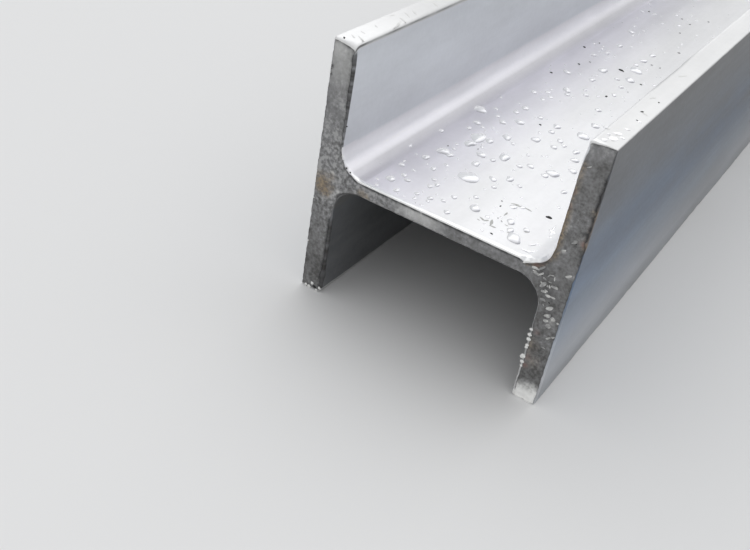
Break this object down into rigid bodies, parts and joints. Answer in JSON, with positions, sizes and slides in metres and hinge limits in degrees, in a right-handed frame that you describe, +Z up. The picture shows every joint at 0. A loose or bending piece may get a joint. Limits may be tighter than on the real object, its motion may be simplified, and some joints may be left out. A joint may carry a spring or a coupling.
{
  "type": "steel i-beam",
  "caption": "Hot-rolled wide flange steel beam lying with its web level: parallel flanges, root fillets, rounded toes and square sawn ends; zinc-coated raw stock for columns and frames.",
  "frame": {"origin": "under the middle of the bar, on the plane that its lower toes rest on", "axes": "+X along the bar, +Y across it from flange to flange, +Z up, square to the web"},
  "size_m": [6, 0.12, 0.12],
  "materials": {
    "zinc_coated_steel": "hot-dip zinc on rolled steel, dull silver grey, wet and pale on top, darker on the upright faces, with mottled grey sawn ends that carry a little rust"
  },
  "bodies": {
    "root": {"rolled_beam": "zinc_coated_steel"}
  },
  "joints": []
}
